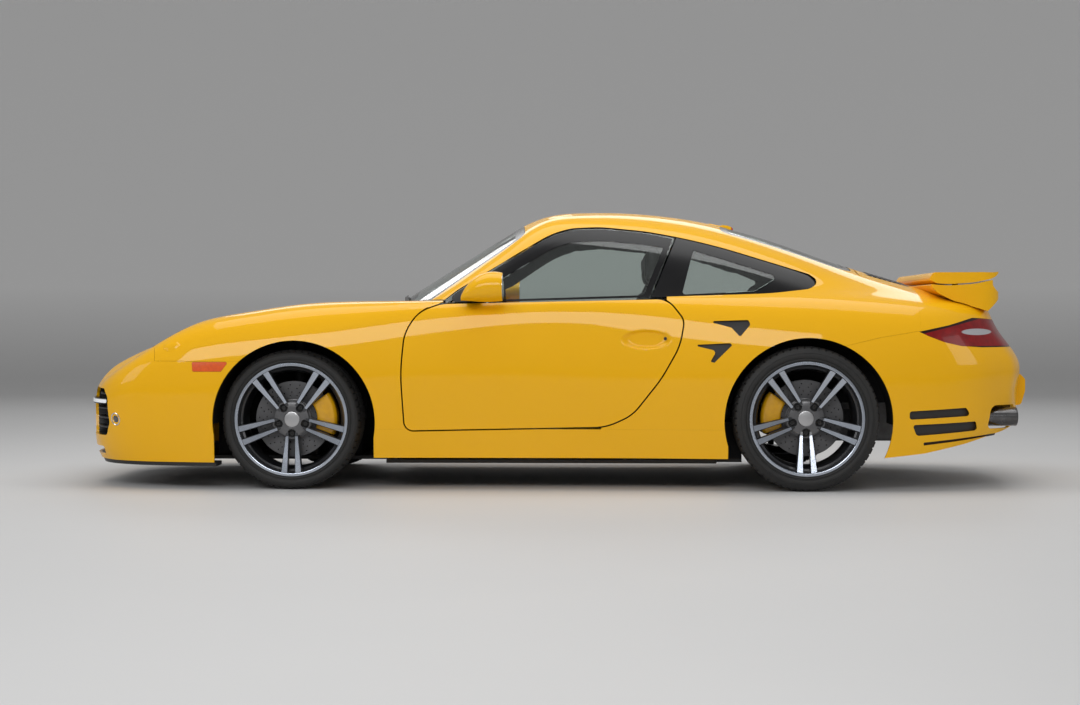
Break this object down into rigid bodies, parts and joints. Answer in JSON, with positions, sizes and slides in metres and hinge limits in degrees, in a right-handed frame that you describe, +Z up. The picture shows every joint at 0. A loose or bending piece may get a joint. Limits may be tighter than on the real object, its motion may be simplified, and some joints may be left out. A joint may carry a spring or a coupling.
{
  "type": "coupe car",
  "caption": "Rear-engined coupe with opening doors and lids, a lifting rear wing, steered front wheels and a furnished cabin.",
  "frame": {"origin": "on the floor, under the middle of the car's box", "axes": "-X to the nose along the car's length, -Y to the car's left side, +Z up"},
  "size_m": [4.4502, 1.9488, 1.3008],
  "materials": {
    "yellow_paint": "deep yellow gloss paint under clear coat",
    "black_plastic": "fine-grained matt black",
    "clear_glass": "clear, faint green tint",
    "lamp_lens": "clear lens over a silver reflector",
    "red_lens": "dark red lens",
    "amber_lens": "orange lens",
    "tyre_rubber": "matt black rubber",
    "wheel_alloy": "machined faces, dark grey between",
    "brake_iron": "turned grey",
    "caliper_paint": "yellow gloss",
    "seat_leather": "black grained leather",
    "body_steel": "black carpet and sealed steel",
    "suspension_metal": "dark cast metal",
    "engine_metal": "plain cast metal",
    "exhaust_steel": "polished steel"
  },
  "bodies": {
    "root": {"roof_panel": "yellow_paint", "front_fender_left": "yellow_paint", "front_fender_right": "yellow_paint", "front_bumper": "yellow_paint", "quarter_left": "yellow_paint", "quarter_right": "yellow_paint", "rear_bumper": "yellow_paint", "rear_panel": "yellow_paint", "sill_panels": "yellow_paint", "cowl_panel": "black_plastic", "window_pillars": "black_plastic", "wheel_liners": "black_plastic", "front_grilles": "black_plastic", "vent_grilles": "black_plastic", "front_lip": "black_plastic", "wipers": "black_plastic", "dashboard": "black_plastic", "windscreen": "clear_glass", "rear_window": "clear_glass", "quarter_windows": "clear_glass", "headlamps": "lamp_lens", "tail_lamps": "red_lens", "side_markers": "amber_lens", "rear_calipers": "caliper_paint", "front_seats": "seat_leather", "rear_seats": "seat_leather", "cabin_tub": "body_steel", "luggage_tub": "body_steel", "floor_pan": "body_steel", "front_suspension": "suspension_metal", "rear_suspension": "suspension_metal", "powertrain": "engine_metal", "exhaust": "exhaust_steel"},
    "left_door": {"door_left": "yellow_paint", "door_glass_left": "clear_glass", "door_mirror_left": "yellow_paint"},
    "right_door": {"door_right": "yellow_paint", "door_glass_right": "clear_glass", "door_mirror_right": "yellow_paint"},
    "luggage_lid": {"front_lid": "yellow_paint"},
    "rear_lid": {"engine_lid": "yellow_paint"},
    "wing": {"wing_blade": "yellow_paint"},
    "steering": {"steering_wheel": "black_plastic"},
    "left_knuckle": {"front_knuckle_left": "suspension_metal", "front_caliper_left": "caliper_paint"},
    "right_knuckle": {"front_knuckle_right": "suspension_metal", "front_caliper_right": "caliper_paint"},
    "front_left_wheel": {"front_tyre_left": "tyre_rubber", "front_rim_left": "wheel_alloy", "front_disc_left": "brake_iron"},
    "front_right_wheel": {"front_tyre_right": "tyre_rubber", "front_rim_right": "wheel_alloy", "front_disc_right": "brake_iron"},
    "rear_left_wheel": {"rear_tyre_left": "tyre_rubber", "rear_rim_left": "wheel_alloy", "rear_disc_left": "brake_iron"},
    "rear_right_wheel": {"rear_tyre_right": "tyre_rubber", "rear_rim_right": "wheel_alloy", "rear_disc_right": "brake_iron"}
  },
  "joints": [
    {"name": "left_door_hinge", "type": "hinge", "parent": "root", "child": "left_door", "pos_m": [-0.587, -0.852, 0.55], "axis": [0, 0, -1], "range_deg": [0, 62]},
    {"name": "right_door_hinge", "type": "hinge", "parent": "root", "child": "right_door", "pos_m": [-0.587, 0.852, 0.55], "axis": [0, 0, 1], "range_deg": [0, 62]},
    {"name": "luggage_lid_hinge", "type": "hinge", "parent": "root", "child": "luggage_lid", "pos_m": [-0.76, 0, 0.8], "axis": [0, 1, 0], "range_deg": [0, 65]},
    {"name": "rear_lid_hinge", "type": "hinge", "parent": "root", "child": "rear_lid", "pos_m": [1.36, 0, 1.002], "axis": [0, -1, 0], "range_deg": [0, 60]},
    {"name": "wing_lift", "type": "slide", "parent": "rear_lid", "child": "wing", "axis": [0, 0, 1], "range_m": [0, 0.065]},
    {"name": "steering_turn", "type": "hinge", "parent": "root", "child": "steering", "pos_m": [-0.215, -0.37, 0.742], "axis": [0.9136, 0, 0.4067], "range_deg": [-450, 450]},
    {"name": "left_knuckle_turn", "type": "hinge", "parent": "root", "child": "left_knuckle", "pos_m": [-1.2, -0.7, 0.32], "axis": [0, 0, 1], "range_deg": [-32, 32]},
    {"name": "right_knuckle_turn", "type": "hinge", "parent": "root", "child": "right_knuckle", "pos_m": [-1.2, 0.7, 0.32], "axis": [0, 0, 1], "range_deg": [-32, 32]},
    {"name": "front_left_wheel_spin", "type": "hinge", "parent": "left_knuckle", "child": "front_left_wheel", "pos_m": [-1.2, -0.745, 0.32], "axis": [0, -1, 0], "continuous": true},
    {"name": "front_right_wheel_spin", "type": "hinge", "parent": "right_knuckle", "child": "front_right_wheel", "pos_m": [-1.2, 0.745, 0.32], "axis": [0, -1, 0], "continuous": true},
    {"name": "rear_left_wheel_spin", "type": "hinge", "parent": "root", "child": "rear_left_wheel", "pos_m": [1.15, -0.774, 0.329], "axis": [0, -1, 0], "continuous": true},
    {"name": "rear_right_wheel_spin", "type": "hinge", "parent": "root", "child": "rear_right_wheel", "pos_m": [1.15, 0.774, 0.329], "axis": [0, -1, 0], "continuous": true}
  ],
  "couplings": [
    {"joint": "left_knuckle_turn", "follows": "steering_turn", "ratio": 0.071},
    {"joint": "right_knuckle_turn", "follows": "steering_turn", "ratio": 0.071}
  ]
}
